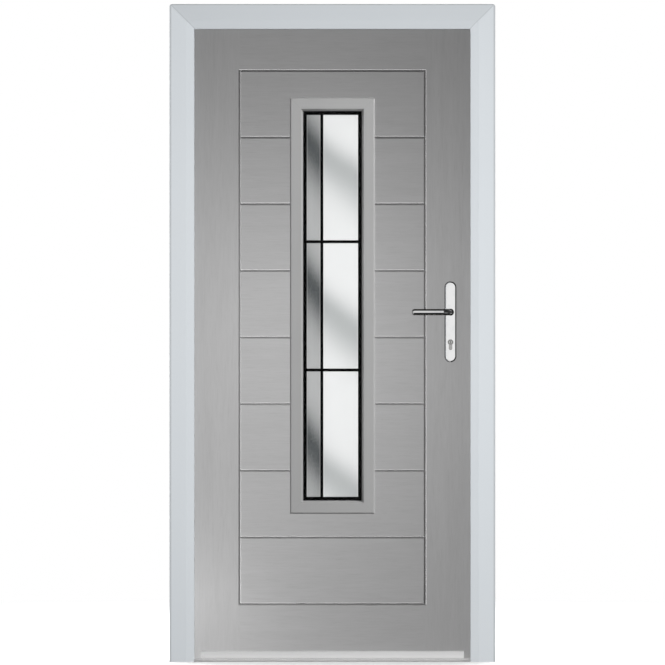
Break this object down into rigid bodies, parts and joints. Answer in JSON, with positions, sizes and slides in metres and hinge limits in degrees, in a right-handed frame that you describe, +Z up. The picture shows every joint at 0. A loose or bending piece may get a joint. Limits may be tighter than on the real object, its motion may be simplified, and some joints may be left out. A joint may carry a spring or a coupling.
{
  "type": "glazed front door",
  "caption": "Grey panelled front door with a tall leaded glass panel and lever handle, hung in a white frame on a low threshold; the leaf swings inwards.",
  "frame": {"origin": "on the underside of the threshold, at the middle of the frame's width and depth", "axes": "+Z up, +X towards the lock side seen from outside, -Y outside, +Y inside where the leaf opens to"},
  "size_m": [1, 0.157, 2.02],
  "materials": {
    "frame_white": "white plastic frame profile with a soft sheen",
    "leaf_grey": "mid grey moulded skin with a fine wood grain",
    "leaf_edge": "grey edge of the leaf, painted to match the skins",
    "foam": "rigid insulating foam, not seen",
    "aluminium": "satin silver",
    "seal_rubber": "black weather seal",
    "clear_glass": "clear float glass",
    "satin_glass": "white satin glass",
    "smoked_glass": "grey glass with a watery texture",
    "came_black": "black bars and spacer",
    "chrome": "polished",
    "cylinder_nickel": "satin nickel",
    "steel": "bright zinc plate",
    "hinge_metal": "white powder coat"
  },
  "bodies": {
    "frame": {"frame_head": "frame_white", "hinge_jamb": "frame_white", "lock_jamb": "frame_white", "threshold": "aluminium", "head_seal": "seal_rubber", "hinge_jamb_seal": "seal_rubber", "lock_jamb_seal": "seal_rubber", "threshold_seal": "seal_rubber", "latch_keep": "steel", "lower_hook_keep": "steel", "upper_hook_keep": "steel", "lower_hinge_frame_flag": "hinge_metal", "middle_hinge_frame_flag": "hinge_metal", "upper_hinge_frame_flag": "hinge_metal"},
    "leaf": {"outer_skin": "leaf_grey", "inner_skin": "leaf_grey", "foam_core": "foam", "hinge_stile": "leaf_edge", "lock_stile": "leaf_edge", "top_rail": "leaf_edge", "bottom_rail": "leaf_edge", "weather_bar": "aluminium", "outer_cassette": "leaf_grey", "inner_cassette": "leaf_grey", "outer_pane": "clear_glass", "inner_pane": "clear_glass", "glass_spacer": "came_black", "glass_came": "came_black", "narrow_tiles": "smoked_glass", "wide_tiles": "satin_glass", "outer_backplate": "chrome", "inner_backplate": "chrome", "key_cylinder": "cylinder_nickel", "inner_key_plug": "cylinder_nickel", "lock_strip": "steel", "lock_bolts": "steel", "lower_hinge_leaf_flag": "hinge_metal", "middle_hinge_leaf_flag": "hinge_metal", "upper_hinge_leaf_flag": "hinge_metal"},
    "levers": {"outer_lever": "chrome", "inner_lever": "chrome", "spindle": "steel"},
    "key_plug": {"outer_key_plug": "cylinder_nickel"}
  },
  "joints": [
    {"name": "leaf_swing", "type": "hinge", "parent": "frame", "child": "leaf", "pos_m": [-0.4415, 0.046, 1], "axis": [0, 0, 1], "range_deg": [0, 100]},
    {"name": "lever_turn", "type": "hinge", "parent": "leaf", "child": "levers", "pos_m": [0.363, 0.013, 1.074], "axis": [0, -1, 0], "range_deg": [-45, 40], "stiffness_Nm_per_rad": 3, "springref_deg": -4.01},
    {"name": "key_turn", "type": "hinge", "parent": "leaf", "child": "key_plug", "pos_m": [0.363, -0.01, 0.982], "axis": [0, -1, 0], "range_deg": [0, 360]}
  ]
}
